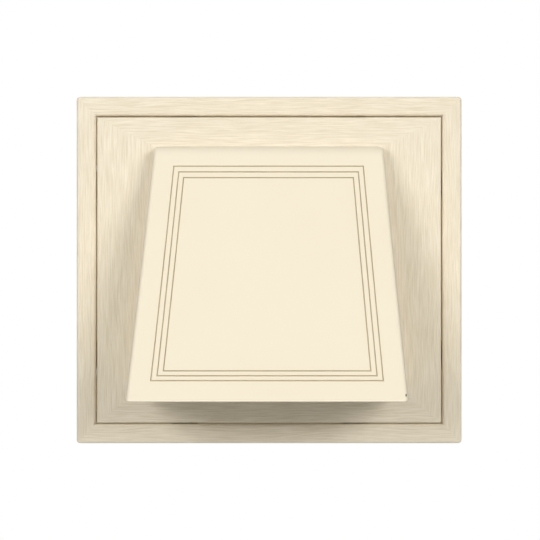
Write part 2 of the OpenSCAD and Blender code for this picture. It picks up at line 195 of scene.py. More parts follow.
def hood_shell(name, inset, low_z, back_out, edge=0.0):
    """The hood as a solid of level slices, up the hollow face and over the round roof edge."""
    r = ROOF_R - inset
    side_r = max(SIDE_EDGE_R - inset, 0.4)
    foot_z = low_z + edge
    face_top_z = ROOF_Z + r * math.sin(TOP_TILT)
    face_steps = 24
    roof_steps = 16
    lip_steps = 5 if edge else 0
    slices = []
    for i in range(lip_steps):
        t = i / lip_steps
        z = low_z + edge * t * t
        slices.append((z, face_out(z) - inset / math.cos(TOP_TILT), edge * (1 - t) ** 2))
    for i in range(face_steps):
        z = foot_z + (face_top_z - foot_z) * i / face_steps
        slices.append((z, face_out(z) - inset / math.cos(TOP_TILT), 0))
    for i in range(roof_steps + 1):
        a = TOP_TILT + (math.pi / 2 - TOP_TILT) * i / roof_steps
        slices.append((ROOF_Z + r * math.sin(a), ROOF_OUT + r * math.cos(a), 0))
    rings = []
    for z, face, drawn_in in slices:
        out = face - drawn_in
        over = max(0, z - (HOOD_TOP_Z - inset - side_r))
        half = hood_half_w(z) - inset - drawn_in - side_r + math.sqrt(max(0, side_r**2 - over**2))
        back = half + (out - back_out) * math.tan(SIDE_DRAFT)
        corner = arc(half - side_r, out - side_r, side_r, 0, 90, 8)
        right = [(x, p, z) for x, p in corner]
        left = [(-x, p, z) for x, p in reversed(corner)]
        rings.append([(back, back_out, z), *right, *left, (-back, back_out, z)])
    return bridged(name, rings)


GROOVE_W = 0.6
GROOVE_DEPTH = 0.6
GROOVE_SIDE_MARGIN = 11.9
GROOVE_TOP_MARGIN = 11.4
GROOVE_BOTTOM_MARGIN = 10.4
GROOVE_SIDE_PITCH = 3.0
GROOVE_TOP_PITCH = 3.2
GROOVE_BOTTOM_PITCH = 2.45


def groove(name, index):
    """The cutter of one engraved line: a round-bottomed section run round the face, mitred at its corners."""
    half = GROOVE_W / 2
    section = [
        (-half - 0.5, -0.6), (-half - 0.08, -0.02), (-half, 0.08), (-0.8 * half, 0.42), (0, GROOVE_DEPTH),
        (0.8 * half, 0.42), (half, 0.08), (half + 0.08, -0.02), (half + 0.5, -0.6),
    ]
    rings = []
    for aside, depth in section:
        inset = half + aside
        top = HOOD_TOP_Z - GROOVE_TOP_MARGIN - index * GROOVE_TOP_PITCH - inset
        bottom = LIP_Z + GROOVE_BOTTOM_MARGIN + index * GROOVE_BOTTOM_PITCH + inset
        margin = GROOVE_SIDE_MARGIN + index * GROOVE_SIDE_PITCH + inset
        steps = 24
        levels = [bottom + (top - bottom) * i / steps for i in range(steps + 1)]
        right = [(hood_half_w(z) - margin, face_out(z) - depth, z) for z in levels]
        left = [(-x, out, z) for x, out, z in reversed(right)]
        rings.append(right + left)
    return bridged(name, rings, closed=True)


def add_node(tree, kind, inputs=None, **settings):
    """Adds a node to a tree, with its settings, and sets or links its inputs."""
    node = tree.nodes.new(kind)
    for name, value in settings.items():
        setattr(node, name, value)
    for socket, value in (inputs or {}).items():
        if isinstance(value, bpy.types.NodeSocket):
            tree.links.new(value, node.inputs[socket])
        else:
            node.inputs[socket].default_value = value
    return node


def formula(tree, operation, *values):
    """The result of one step of arithmetic on sockets and numbers."""
    return add_node(tree, "ShaderNodeMath", dict(enumerate(values)), operation=operation).outputs[0]


def new_tree(name, **sizes):
    """A tree of Geometry Nodes with the shape that it works on, its named sizes and its material as inputs."""
    tree = bpy.data.node_groups.new(name, "GeometryNodeTree")
    tree.interface.new_socket("Shape", in_out="INPUT", socket_type="NodeSocketGeometry")
    for label, value in sizes.items():
        kind = "NodeSocketInt" if isinstance(value, int) else "NodeSocketFloat"
        tree.interface.new_socket(label, in_out="INPUT", socket_type=kind).default_value = value
    tree.interface.new_socket("Material", in_out="INPUT", socket_type="NodeSocketMaterial")
    tree.interface.new_socket("Shape", in_out="OUTPUT", socket_type="NodeSocketGeometry")
    return tree, tree.nodes.new("NodeGroupInput").outputs


def finish_tree(tree, shape, given):
    """Ends a tree in plain mesh with its material."""
    real = add_node(tree, "GeometryNodeRealizeInstances", {"Geometry": shape}).outputs[0]
    dressed = add_node(
        tree, "GeometryNodeSetMaterial", {"Geometry": real, "Material": given["Material"]}
    ).outputs[0]
    add_node(tree, "NodeGroupOutput", {"Shape": dressed})


def grown(piece, tree, **values):
    """Runs a tree on a piece with the given inputs, and keeps the result as the piece's mesh."""
    step = piece.modifiers.new(tree.name, "NODES")
    step.node_group = tree
    for item in tree.interface.items_tree:
        if item.in_out == "INPUT" and item.name in values:
            step[item.identifier] = values[item.name]
    return baked(piece)


# The tree that sets a shape, drawn for the middle of the top side, at its eight places round the box
round_the_box, given = new_tree(
    "round_the_box", end_distance=0.0857, side_distance=0.0965, end_offset=0.048, side_offset=0.048
)
place = add_node(round_the_box, "GeometryNodeInputIndex").outputs[0]
side = formula(round_the_box, "FLOOR", formula(round_the_box, "DIVIDE", place, 2.0))
hand = formula(
    round_the_box, "SUBTRACT",
    formula(round_the_box, "MULTIPLY", formula(round_the_box, "MODULO", place, 2.0), 2.0), 1.0,
)
upright = formula(round_the_box, "MODULO", side, 2.0)
distance = add_node(
    round_the_box, "ShaderNodeMix",
    {"Factor": upright, "A": given["end_distance"], "B": given["side_distance"]},
).outputs[0]
offset = add_node(
    round_the_box, "ShaderNodeMix",
    {"Factor": upright, "A": given["end_offset"], "B": given["side_offset"]},
).outputs[0]
along = formula(round_the_box, "MULTIPLY", hand, offset)
spot = add_node(round_the_box, "ShaderNodeCombineXYZ", {"X": along, "Z": distance}).outputs[0]
turn = formula(round_the_box, "MULTIPLY", side, math.pi / 2)
turned_spot = add_node(
    round_the_box, "ShaderNodeVectorRotate", {"Vector": spot, "Angle": turn}, rotation_type="Y_AXIS"
).outputs[0]
heading = add_node(round_the_box, "ShaderNodeCombineXYZ", {"Y": turn}).outputs[0]
places = add_node(round_the_box, "GeometryNodePoints", {"Count": 8, "Position": turned_spot}).outputs[0]
copies = add_node(
    round_the_box, "GeometryNodeInstanceOnPoints",
    {"Points": places, "Instance": given["Shape"], "Rotation": heading},
).outputs[0]
finish_tree(round_the_box, copies, given)

# The base in the rough: flange, box and hood, less the hollow behind the panel
CUT = 1.0
base = pushed("base_moulding", round_rectangle(FLANGE_W, FLANGE_H, FLANGE_CORNER_R), 0, FLANGE_T)
TAB_OFFSET = 48.0
TAB_W = 16.0
TOOTH_H = 0.8
TOOTH_PITCH = 2.5
TOOTH_COUNT = 5
FIRST_TOOTH_OUT = 8.0
teeth = [(FIRST_TOOTH_OUT + TOOTH_COUNT * TOOTH_PITCH, -WALL / 2), (FIRST_TOOTH_OUT, -WALL / 2)]
for i in range(TOOTH_COUNT):
    teeth.append((FIRST_TOOTH_OUT + i * TOOTH_PITCH, TOOTH_H))
    teeth.append((FIRST_TOOTH_OUT + (i + 1) * TOOTH_PITCH, 0))
half = TAB_W / 2 - 1
ratchets = bridged("ratchets", [[(x, out, z) for out, z in teeth] for x in (-half, half)])
grown(ratchets, round_the_box, end_distance=BOX_H / 2 * MM, side_distance=BOX_W / 2 * MM)
carved(
    base, "UNION",
    panel_box("box", 0, 0),
    hood_shell("hood", 0, LIP_Z, RIM_OUT, LIP_EDGE),
    ratchets,
)

BOSS_D = 7.4
PILOT_R = 1.55
PILOT_END_OUT = 22.0
SCREW_PLACES = [(72.0, 62.0), (-72.0, 62.0), (82.0, -62.0), (-82.0, -62.0)]
hollow = panel_box("hollow", WALL, -CUT)
bosses = []
pilot_holes = []
for i, (x, z) in enumerate(SCREW_PLACES):
    ring_of_boss = arc(x, z, BOSS_D / 2, 0, 354, 59)
    bosses.append(pushed(f"boss_{i}", ring_of_boss, PLATE_FRONT_OUT, RIM_OUT + HOOD_TOP_STAND))
    pilot_holes.append(pushed(f"pilot_{i}", arc(x, z, PILOT_R, 0, 345, 23), PLATE_FRONT_OUT - CUT, PILOT_END_OUT))
webs = []
for sign in (-1, 1):
    for name, x, z, w, h in (
        ("web_level", 0, sign * BOX_H / 8, BOX_W, WALL),
        ("web_upright", sign * BOX_W / 6, 0, WALL, BOX_H),
    ):
        outline = [(x - w / 2, z - h / 2), (x + w / 2, z - h / 2), (x + w / 2, z + h / 2), (x - w / 2, z + h / 2)]
        webs.append(pushed(f"{name}_{sign}", outline, PLATE_FRONT_OUT + WALL, RIM_OUT + HOOD_TOP_STAND))
carved(hollow, "DIFFERENCE", hood_shell("throat_wall", 0, SILL_Z - WALL, PLATE_FRONT_OUT), *bosses, *webs)

# Slots for the nails, with round ends, in the middle of the flange's free strip
SLOT_W = 4.4
SLOT_L = 14.0
reach = (SLOT_L - SLOT_W) / 2
slot_ends = arc(reach, 0, SLOT_W / 2, -90, 90, 12) + arc(-reach, 0, SLOT_W / 2, 90, 270, 12)
slots = pushed("nail_slots", slot_ends, -CUT, FLANGE_T + CUT)
grown(
    slots, round_the_box,
    end_distance=(BOX_H + FLANGE_H) / 4 * MM, side_distance=(BOX_W + FLANGE_W) / 4 * MM,
    end_offset=52 * MM, side_offset=55 * MM,
)
carved(
    base, "DIFFERENCE",
    hollow,
    hood_shell("throat", WALL, SILL_Z, -2 * CUT),
    slots,
    *pilot_holes,
    *[groove(f"groove_{i}", i) for i in range(3)],
)


def shaded(piece, angle=28):
    """Smooth across curves and crisp at corners, with flat faces kept flat beside the small rounded ones."""
    for polygon in piece.data.polygons:
        polygon.use_smooth = True
    piece.data.set_sharp_from_angle(angle=math.radians(angle))
    step = piece.modifiers.new("crisp", "WEIGHTED_NORMAL")
    step.keep_sharp = True
    step.weight = 100
    return baked(piece)


def lay_grain(piece):
    """A map of the grain in millimetres: u runs along each member, upright at the sides and level at the ends."""
    layer = piece.data.uv_layers.new(name="grain")
    for polygon in piece.data.polygons:
        face = polygon.normal
        centre = polygon.center / MM
        if abs(face.y) > 0.995:
            upright = BOX_W / 2 - abs(centre.x) < BOX_H / 2 - abs(centre.z)
        else:
            upright = abs(face.x) > abs(face.z)
        way = Vector((0, 0, 1)) if upright else Vector((1, 0, 0))
        across = face.cross(way)
        for corner in polygon.loop_indices:
            point = piece.data.vertices[piece.data.loops[corner].vertex_index].co / MM
            layer.data[corner].uv = (point.dot(way) + (300 if upright else 0), point.dot(across))


def linear(hex_colour):
    """An sRGB hex colour as the linear one that a shader takes."""
    parts = [int(hex_colour[i:i + 2], 16) / 255 for i in (1, 3, 5)]
    return (*[p / 12.92 if p <= 0.04045 else ((p + 0.055) / 1.055) ** 2.4 for p in parts], 1)


def new_material(name):
    """An empty material and its tree."""
    material = bpy.data.materials.new(name)
    material.use_nodes = True
    material.node_tree.nodes.clear()
    return material, material.node_tree


CREAM = "#F3E8D1"
CREAM_DEEP = "#EFE4CB"

# Moulded polypropylene, satin: a broad soft sheen, the faint waviness of a polished mould, and one dark nick
satin_cream, tree = new_material("moulded_polypropylene_satin")
position = add_node(tree, "ShaderNodeTexCoord").outputs["Object"]
cloud = add_node(tree, "ShaderNodeTexNoise", {"Vector": position, "Scale": 18, "Detail": 3}).outputs["Fac"]
pebble = add_node(tree, "ShaderNodeTexNoise", {"Vector": position, "Scale": 900, "Detail": 3}).outputs["Fac"]
NICK_PLACE = (0.0718, -0.0986, -0.0646)
NICK_SHAPE = (1 / 0.4, 1 / 4.0, 1 / 0.75)
from_nick = add_node(tree, "ShaderNodeVectorMath", {0: position, 1: NICK_PLACE}, operation="SUBTRACT").outputs[0]
nick_scaled = add_node(tree, "ShaderNodeVectorMath", {0: from_nick, 1: NICK_SHAPE}, operation="MULTIPLY").outputs[0]
nick_far = add_node(tree, "ShaderNodeVectorMath", {0: nick_scaled}, operation="LENGTH").outputs["Value"]
nick = add_node(
    tree, "ShaderNodeMapRange",
    {"Value": nick_far, "From Min": 0.0007, "From Max": 0.0012, "To Min": 1.0, "To Max": 0.0},
).outputs[0]
tone = add_node(
    tree, "ShaderNodeMix", {"Factor": cloud, 6: linear(CREAM), 7: linear(CREAM_DEEP)}, data_type="RGBA"
).outputs[2]
colour = add_node(tree, "ShaderNodeMix", {"Factor": nick, 6: tone, 7: linear("#6E6248")}, data_type="RGBA").outputs[2]
sheen = add_node(
    tree, "ShaderNodeMapRange", {"Value": cloud, "From Min": 0.3, "From Max": 0.7, "To Min": 0.40, "To Max": 0.48}
).outputs[0]
relief = add_node(
    tree, "ShaderNodeBump", {"Height": pebble, "Strength": 0.12, "Distance": 0.00003}
).outputs[0]
plastic = add_node(
    tree, "ShaderNodeBsdfPrincipled",
    {"Base Color": colour, "Roughness": sheen, "IOR": 1.49, "Specular IOR Level": 0.35, "Normal": relief},
).outputs[0]
add_node(tree, "ShaderNodeOutputMaterial", {"Surface": plastic})

# Painted groove shade: a dull grey-brown colour over the cream in the engraved lines, which stands in for the shadow
# inside them and draws the lines dark
painted_groove_shade, tree = new_material("polypropylene_painted_groove_shade")
position = add_node(tree, "ShaderNodeTexCoord").outputs["Object"]
patches = add_node(tree, "ShaderNodeTexNoise", {"Vector": position, "Scale": 60, "Detail": 3}).outputs["Fac"]
colour = add_node(
    tree, "ShaderNodeMix", {"Factor": patches, 6: linear("#BBAD8A"), 7: linear("#CDC09D")}, data_type="RGBA"
).outputs[2]
plastic = add_node(tree, "ShaderNodeBsdfPrincipled", {"Base Color": colour, "Roughness": 0.9}).outputs[0]
add_node(tree, "ShaderNodeOutputMaterial", {"Surface": plastic})

# Moulded polypropylene, wood grain: shallow streaks etched in the mould, 0.5 mm wide and 20 mm long, which
# catch the light as fine dark and pale lines along each member
grained_cream, tree = new_material("moulded_polypropylene_wood_grain")
grain_map = add_node(tree, "ShaderNodeUVMap", uv_map="grain").outputs[0]
wander = add_node(
    tree, "ShaderNodeMapping", {"Vector": grain_map, "Scale": (1 / 45, 1 / 14, 1)}
).outputs[0]
bend = add_node(tree, "ShaderNodeTexNoise", {"Vector": wander, "Scale": 1, "Detail": 1}).outputs["Fac"]
swerve = add_node(
    tree, "ShaderNodeCombineXYZ", {"Y": formula(tree, "MULTIPLY", formula(tree, "SUBTRACT", bend, 0.5), 5.0)}
).outputs[0]
bent_map = add_node(tree, "ShaderNodeVectorMath", {0: grain_map, 1: swerve}, operation="ADD").outputs[0]
streak_map = add_node(
    tree, "ShaderNodeMapping", {"Vector": bent_map, "Scale": (1 / 18, 1 / 0.75, 1)}
).outputs[0]
streaks = add_node(
    tree, "ShaderNodeTexNoise", {"Vector": streak_map, "Scale": 1, "Detail": 3, "Roughness": 0.62}
).outputs["Fac"]
band_map = add_node(tree, "ShaderNodeMapping", {"Vector": bent_map, "Scale": (1 / 60, 1 / 3.5, 1)}).outputs[0]
bands = add_node(tree, "ShaderNodeTexNoise", {"Vector": band_map, "Scale": 1, "Detail": 2}).outputs["Fac"]
grain = add_node(
    tree, "ShaderNodeMapRange", {"Value": streaks, "From Min": 0.34, "From Max": 0.62}
).outputs[0]
tint = formula(tree, "ADD", formula(tree, "MULTIPLY", grain, 0.75), formula(tree, "MULTIPLY", bands, 0.25))
colour = add_node(
    tree, "ShaderNodeMix", {"Factor": tint, 6: linear("#E2D5BA"), 7: linear("#F7ECD6")}, data_type="RGBA"
).outputs[2]
sheen = add_node(tree, "ShaderNodeMapRange", {"Value": grain, "To Min": 0.80, "To Max": 0.68}).outputs[0]
relief = add_node(
    tree, "ShaderNodeBump", {"Height": grain, "Strength": 0.9, "Distance": 0.00011}
).outputs[0]
plastic = add_node(
    tree, "ShaderNodeBsdfPrincipled",
    {"Base Color": colour, "Roughness": sheen, "IOR": 1.49, "Specular IOR Level": 0.35, "Normal": relief},
).outputs[0]
add_node(tree, "ShaderNodeOutputMaterial", {"Surface": plastic})

shaded(base)
lay_grain(base)
base.data.materials.clear()
base.data.materials.append(satin_cream)
base.data.materials.append(grained_cream)
base.data.materials.append(painted_groove_shade)
TOP_RISE = (BOX_W / 2 - hood_root_half_w(HOOD_TOP_Z)) * math.tan(BEVEL_ANGLE) / (BOX_H / 2 - HOOD_TOP_Z)
LIP_RISE = (BOX_W / 2 - hood_root_half_w(LIP_Z)) * math.tan(BEVEL_ANGLE) / (BOX_H / 2 + LIP_Z)
for polygon in base.data.polygons:
    x, y, z = polygon.center / MM
    bevel_out = RIM_OUT + min(
        (BOX_W / 2 - abs(x)) * math.tan(BEVEL_ANGLE), (BOX_H / 2 - z) * TOP_RISE, (BOX_H / 2 + z) * LIP_RISE
    )
    if polygon.normal.y < -0.05 and abs(-y - bevel_out) < 0.5:
        polygon.material_index = 1
    # Faces inside the engraved lines on the hood's face take the painted groove shade, a darker colour in place of
    # the shadow in the grooves
    on_face = abs(x) < hood_half_w(z) - GROOVE_SIDE_MARGIN and abs(z) < HOOD_TOP_Z - GROOVE_BOTTOM_MARGIN
    if on_face and 0.1 < face_out(z) + y < GROOVE_DEPTH:
        polygon.material_index = 2
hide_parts("hood_body")
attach(base, "vent")

# Trim ring
# A second moulding in the same cream polypropylene: a flat frame with a skirt, pushed on over the box after
# the siding is up and held there by eight clip tabs. It carries the same etched wood grain.

RING_W = 216.0
RING_H = 194.4
RING_FACE_W = 10.8
RING_FRONT_OUT = 26.5
RING_BACK_OUT = 14.5
RING_WALL = 2.0
RING_OUTER_EDGE_R = 1.3
RING_INNER_EDGE_R = 2.0
RING_CORNER_R = 2.0
RING_GAP = 0.7

# The tree that sweeps a section round a rectangle with mitred corners. The section's points hold how far
# they lie in from the outer edge and how far out from the wall.
mitred_frame, given = new_tree("mitred_frame", width=0.216, height=0.1944, corner_radius=0.002, corner_steps=6)
section_count = add_node(
    mitred_frame, "GeometryNodeAttributeDomainSize", {"Geometry": given["Shape"]}
).outputs["Point Count"]
corner_points = formula(mitred_frame, "ADD", given["corner_steps"], 1.0)
round_count = formula(mitred_frame, "MULTIPLY", corner_points, 4.0)
row_length = formula(mitred_frame, "ADD", round_count, 1.0)
grid = add_node(
    mitred_frame, "GeometryNodeMeshGrid",
    {"Vertices X": formula(mitred_frame, "ADD", section_count, 1.0), "Vertices Y": row_length},
).outputs[0]
point = add_node(mitred_frame, "GeometryNodeInputIndex").outputs[0]
row = formula(
    mitred_frame, "FLOOR",
    formula(mitred_frame, "DIVIDE", formula(mitred_frame, "ADD", point, 0.5), row_length),
)
station = formula(
    mitred_frame, "MODULO",
    formula(mitred_frame, "SUBTRACT", point, formula(mitred_frame, "MULTIPLY", row, row_length)),
    round_count,
)
section_point = add_node(
    mitred_frame, "GeometryNodeSampleIndex",
    {
        "Geometry": given["Shape"],
        "Value": add_node(mitred_frame, "GeometryNodeInputPosition").outputs[0],
        "Index": formula(mitred_frame, "MODULO", row, section_count),
    },
    data_type="FLOAT_VECTOR",
).outputs[0]
section_parts = add_node(mitred_frame, "ShaderNodeSeparateXYZ", {0: section_point}).outputs
inset = section_parts["X"]
corner = formula(
    mitred_frame, "FLOOR",
    formula(mitred_frame, "DIVIDE", formula(mitred_frame, "ADD", station, 0.5), corner_points),
)
step = formula(mitred_frame, "SUBTRACT", station, formula(mitred_frame, "MULTIPLY", corner, corner_points))
swing = formula(
    mitred_frame, "MULTIPLY",
    formula(mitred_frame, "ADD", corner, formula(mitred_frame, "DIVIDE", step, given["corner_steps"])),
    math.pi / 2,
)
facing = formula(mitred_frame, "MULTIPLY", formula(mitred_frame, "ADD", corner, 0.5), math.pi / 2)
corner_r = formula(mitred_frame, "MAXIMUM", formula(mitred_frame, "SUBTRACT", given["corner_radius"], inset), 0.0)


def frame_coordinate(size, way):
    """A point's x or z: the corner's own quarter, less the inset, plus the corner's arc."""
    sign = formula(mitred_frame, "SIGN", formula(mitred_frame, way, facing))
    straight = formula(
        mitred_frame, "SUBTRACT",
        formula(mitred_frame, "SUBTRACT", formula(mitred_frame, "MULTIPLY", size, 0.5), inset), corner_r,
    )
    rounding = formula(mitred_frame, "MULTIPLY", corner_r, formula(mitred_frame, way, swing))
    return formula(mitred_frame, "ADD", formula(mitred_frame, "MULTIPLY", sign, straight), rounding)


swept = add_node(
    mitred_frame, "GeometryNodeSetPosition",
    {
        "Geometry": grid,
        "Position": add_node(
            mitred_frame, "ShaderNodeCombineXYZ",
            {
                "X": frame_coordinate(given["width"], "COSINE"),
                "Y": formula(mitred_frame, "MULTIPLY", section_parts["Y"], -1.0),
                "Z": frame_coordinate(given["height"], "SINE"),
            },
        ).outputs[0],
    },
).outputs[0]
sealed = add_node(mitred_frame, "GeometryNodeMergeByDistance", {"Geometry": swept, "Distance": 0.000001}).outputs[0]
finish_tree(mitred_frame, sealed, given)

section = [(0, RING_BACK_OUT)]
section += arc(RING_OUTER_EDGE_R, RING_FRONT_OUT - RING_OUTER_EDGE_R, RING_OUTER_EDGE_R, 180, 90, 8)
section += arc(RING_FACE_W - RING_INNER_EDGE_R, RING_FRONT_OUT - RING_INNER_EDGE_R, RING_INNER_EDGE_R, 90, 0, 10)
section += [
    (RING_FACE_W, RING_FRONT_OUT - 2 * RING_WALL),
    (RING_FACE_W - RING_WALL, RING_FRONT_OUT - 2 * RING_WALL),
    (RING_FACE_W - RING_WALL, RING_FRONT_OUT - RING_WALL),
    (RING_WALL, RING_FRONT_OUT - RING_WALL),
    (RING_WALL, RING_BACK_OUT),
]
ring_mesh = bpy.data.meshes.new("trim_ring")
ring_mesh.from_pydata([(x * MM, out * MM, 0) for x, out in section], [], [])
ring = bpy.data.objects.new("clip_on_ring", ring_mesh)
bpy.context.collection.objects.link(ring)
grown(
    ring, mitred_frame,
    width=RING_W * MM, height=RING_H * MM, corner_radius=RING_CORNER_R * MM, Material=grained_cream,
)


def outward(piece):
    """Turns a closed mesh's faces outwards."""
    shape = bmesh.new()
    shape.from_mesh(piece.data)
    bmesh.ops.recalc_face_normals(shape, faces=shape.faces)
    shape.to_mesh(piece.data)
    shape.free()
    return piece


TAB_T = 1.5
PAWL_GAP = 0.25
tab_gap = TOOTH_H + RING_GAP
tip = FIRST_TOOTH_OUT + TOOTH_PITCH * (TOOTH_COUNT // 2) - PAWL_GAP
tab_side = [
    (RING_FRONT_OUT - RING_WALL / 2, tab_gap), (RING_FRONT_OUT - RING_WALL / 2, tab_gap + TAB_T),
    (tip - TOOTH_PITCH, tab_gap + TAB_T), (tip - TOOTH_PITCH, tab_gap), (tip, PAWL_GAP), (tip, tab_gap),
]
tabs = bridged("tabs", [[(x, out, z) for out, z in tab_side] for x in (-TAB_W / 2, TAB_W / 2)])
grown(
    tabs, round_the_box,
    end_distance=BOX_H / 2 * MM, side_distance=BOX_W / 2 * MM,
    end_offset=TAB_OFFSET * MM, side_offset=TAB_OFFSET * MM, Material=grained_cream,
)
carved(outward(ring), "UNION", tabs)
shaded(ring)
lay_grain(ring)
ring.data.materials.clear()
ring.data.materials.append(grained_cream)
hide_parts("trim_ring")
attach(ring, "vent")

# Duct collar
# A plain white polypropylene moulding behind the hood: a plate with the 4 inch tail pipe and its shoulder at
# the back, and the flap's seat and two hinge ears in front. Four screws hold it to the base's bosses.

PIPE_R = 50.0
PIPE_WALL = 2.0
PIPE_BEHIND = 44.0
PLATE_OUT = 8.0
PLATE_W = 180.0
PLATE_H = 148.0
SEAT_OUT = 15.0
STOP_RISE = 1.2
STOP_OUT = 1.0
HINGE_OUT = 14.0
HINGE_Z = 56.0
EAR_SPAN = 64.0
EAR_T = 3.0
EAR_R = 4.28


def turned(name, profile, steps=96, x=0.0, z=0.0, closed=True):
    """A solid turned about a line along the duct, from a profile in radius and out."""
    rings = []
    for r, out in profile:
        rings.append([
            (x + r * math.cos(2 * math.pi * i / steps), out, z + r * math.sin(2 * math.pi * i / steps))
            for i in range(steps)
        ])
    return bridged(name, rings, closed)


def sideways(name, outline, from_x, to_x):
    """A solid between two places across the vent, with its outline in out and z."""
    return bridged(name, [[(x, out, z) for out, z in outline] for x in (from_x, to_x)])


bore_r = PIPE_R - PIPE_WALL
collar = pushed("duct_collar_moulding", round_rectangle(PLATE_W, PLATE_H, 6), PLATE_OUT, PLATE_FRONT_OUT)
bore = turned("bore", [(bore_r + 0.5, PLATE_OUT - CUT), (bore_r + 0.5, PLATE_FRONT_OUT + CUT)], closed=False)
screw_holes = [
    turned(f"screw_hole_{i}", [(2.1, PLATE_OUT - CUT), (2.1, PLATE_FRONT_OUT + CUT)], 32, x, z, closed=False)
    for i, (x, z) in enumerate(SCREW_PLACES)
]
carved(collar, "DIFFERENCE", bore, *screw_holes)
pipe_profile = [
    (bore_r + 0.4, SEAT_OUT), (PIPE_R - 0.4, SEAT_OUT), (PIPE_R, SEAT_OUT - 0.4), (PIPE_R, PLATE_FRONT_OUT - 0.8),
    (PIPE_R + STOP_RISE, PLATE_OUT + 0.5), (PIPE_R + STOP_RISE, STOP_OUT + 0.3),
    (PIPE_R + STOP_RISE - 0.3, STOP_OUT), (PIPE_R, STOP_OUT), (PIPE_R, 1 - PIPE_BEHIND),
    (PIPE_R - 0.5, -PIPE_BEHIND), (bore_r + 0.4, -PIPE_BEHIND), (bore_r, 0.4 - PIPE_BEHIND), (bore_r, SEAT_OUT - 0.4),
]
ear_side = [(PLATE_FRONT_OUT - 0.5, HINGE_Z + EAR_R), (PLATE_FRONT_OUT - 0.5, HINGE_Z - EAR_R)]
ear_side += arc(HINGE_OUT, HINGE_Z, EAR_R, -90, 90, 24)
carved(
    collar, "UNION",
    turned("tail_pipe", pipe_profile),
    sideways("right_ear", ear_side, EAR_SPAN / 2, EAR_SPAN / 2 + EAR_T),
    sideways("left_ear", ear_side, -EAR_SPAN / 2 - EAR_T, -EAR_SPAN / 2),
)
GUSSET_COUNT = 8
GUSSET_REACH = 7.0
gusset_side = [
    (PIPE_R - 1, PLATE_OUT + 0.5), (PIPE_R + GUSSET_REACH, PLATE_OUT + 0.5),
    (PIPE_R + GUSSET_REACH, PLATE_OUT), (PIPE_R - 1, STOP_OUT),
]
gussets = []
for i in range(GUSSET_COUNT):
    a = 2 * math.pi * (i + 0.5) / GUSSET_COUNT
    rings = []
    for aside in (-PIPE_WALL / 2, PIPE_WALL / 2):
        rings.append([
            (r * math.cos(a) - aside * math.sin(a), out, r * math.sin(a) + aside * math.cos(a))
            for r, out in gusset_side
        ])
    gussets.append(bridged(f"gusset_{i}", rings))
carved(collar, "UNION", *gussets)
pin_hole = arc(HINGE_OUT, HINGE_Z, 2.08, 0, 352.5, 47)
past_ears = EAR_SPAN / 2 + EAR_T + CUT
carved(collar, "DIFFERENCE", sideways("pin_hole", pin_hole, -past_ears, past_ears))
shaded(collar)

# Moulded polypropylene, plain: whiter than the outside, a little duller, with fine flow marks from the gate
plain_white, tree = new_material("moulded_polypropylene_plain")
position = add_node(tree, "ShaderNodeTexCoord").outputs["Object"]
flow_map = add_node(tree, "ShaderNodeMapping", {"Vector": position, "Scale": (20, 60, 20)}).outputs[0]
flow = add_node(
    tree, "ShaderNodeTexNoise", {"Vector": flow_map, "Scale": 1, "Detail": 3, "Distortion": 0.6}
).outputs["Fac"]
pebble = add_node(tree, "ShaderNodeTexNoise", {"Vector": position, "Scale": 1100, "Detail": 2}).outputs["Fac"]
colour = add_node(
    tree, "ShaderNodeMix", {"Factor": flow, 6: linear("#ECE8DC"), 7: linear("#E4DFD1")}, data_type="RGBA"
).outputs[2]
sheen = add_node(tree, "ShaderNodeMapRange", {"Value": flow, "To Min": 0.42, "To Max": 0.58}).outputs[0]
relief = add_node(tree, "ShaderNodeBump", {"Height": pebble, "Strength": 0.2, "Distance": 0.00004}).outputs[0]
plastic = add_node(
    tree, "ShaderNodeBsdfPrincipled",
    {"Base Color": colour, "Roughness": sheen, "IOR": 1.49, "Specular IOR Level": 0.4, "Normal": relief},
).outputs[0]
add_node(tree, "ShaderNodeOutputMaterial", {"Surface": plastic})
collar.data.materials.append(plain_white)
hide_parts("duct_collar")
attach(collar, "vent")

# Back-draft flap
# A thin round flap in the same white plastic, moulded in one with its leaf, barrel, two hinge pins and
# stiffening ribs. The pins turn in the collar's ears, and the flap falls shut against its seat.

FLAP_R = 52.2
FLAP_BACK_OUT = 15.3
FLAP_T = 1.6
FLAP_RIB = 1.6
FLAP_RIB_INSET = 4.0
LEAF_W = 48.0
BARREL_R = 2.6
PIN_R = 2.0
EAR_GAP = 0.4
flap_front = FLAP_BACK_OUT + FLAP_T
flap = turned(
    "back_draft_flap",
    [
        (FLAP_R - 0.5, FLAP_BACK_OUT), (FLAP_R - 0.15, FLAP_BACK_OUT + 0.15), (FLAP_R, FLAP_BACK_OUT + 0.5),
        (FLAP_R, flap_front - 0.5), (FLAP_R - 0.15, flap_front - 0.15), (FLAP_R - 0.5, flap_front),
    ],
    128, closed=False,
)
leaf = pushed(
    "leaf", [(-LEAF_W / 2, 0.7 * FLAP_R), (LEAF_W / 2, 0.7 * FLAP_R), (LEAF_W / 2, HINGE_Z), (-LEAF_W / 2, HINGE_Z)],
    FLAP_BACK_OUT, flap_front,
)
rib_r = FLAP_R - FLAP_RIB_INSET
rib_top = flap_front + FLAP_RIB
ring_rib = turned(
    "ring_rib",
    [
        (rib_r - FLAP_RIB, flap_front - 0.5), (rib_r, flap_front - 0.5), (rib_r, rib_top - 0.3),
        (rib_r - 0.3, rib_top), (rib_r - FLAP_RIB + 0.3, rib_top), (rib_r - FLAP_RIB, rib_top - 0.3),
    ],
    128,
)
long_ribs = []
for side in (-1, 1):
    x = side * LEAF_W / 4
    reach = 0.9 * rib_r
    edge = [
        (x - 0.8, flap_front - 0.5), (x + 0.8, flap_front - 0.5), (x + 0.8, rib_top - 0.3), (x + 0.5, rib_top),
        (x - 0.5, rib_top), (x - 0.8, rib_top - 0.3),
    ]
    long_ribs.append(bridged(f"long_rib_{side}", [[(px, out, z) for px, out in edge] for z in (-reach, reach)]))


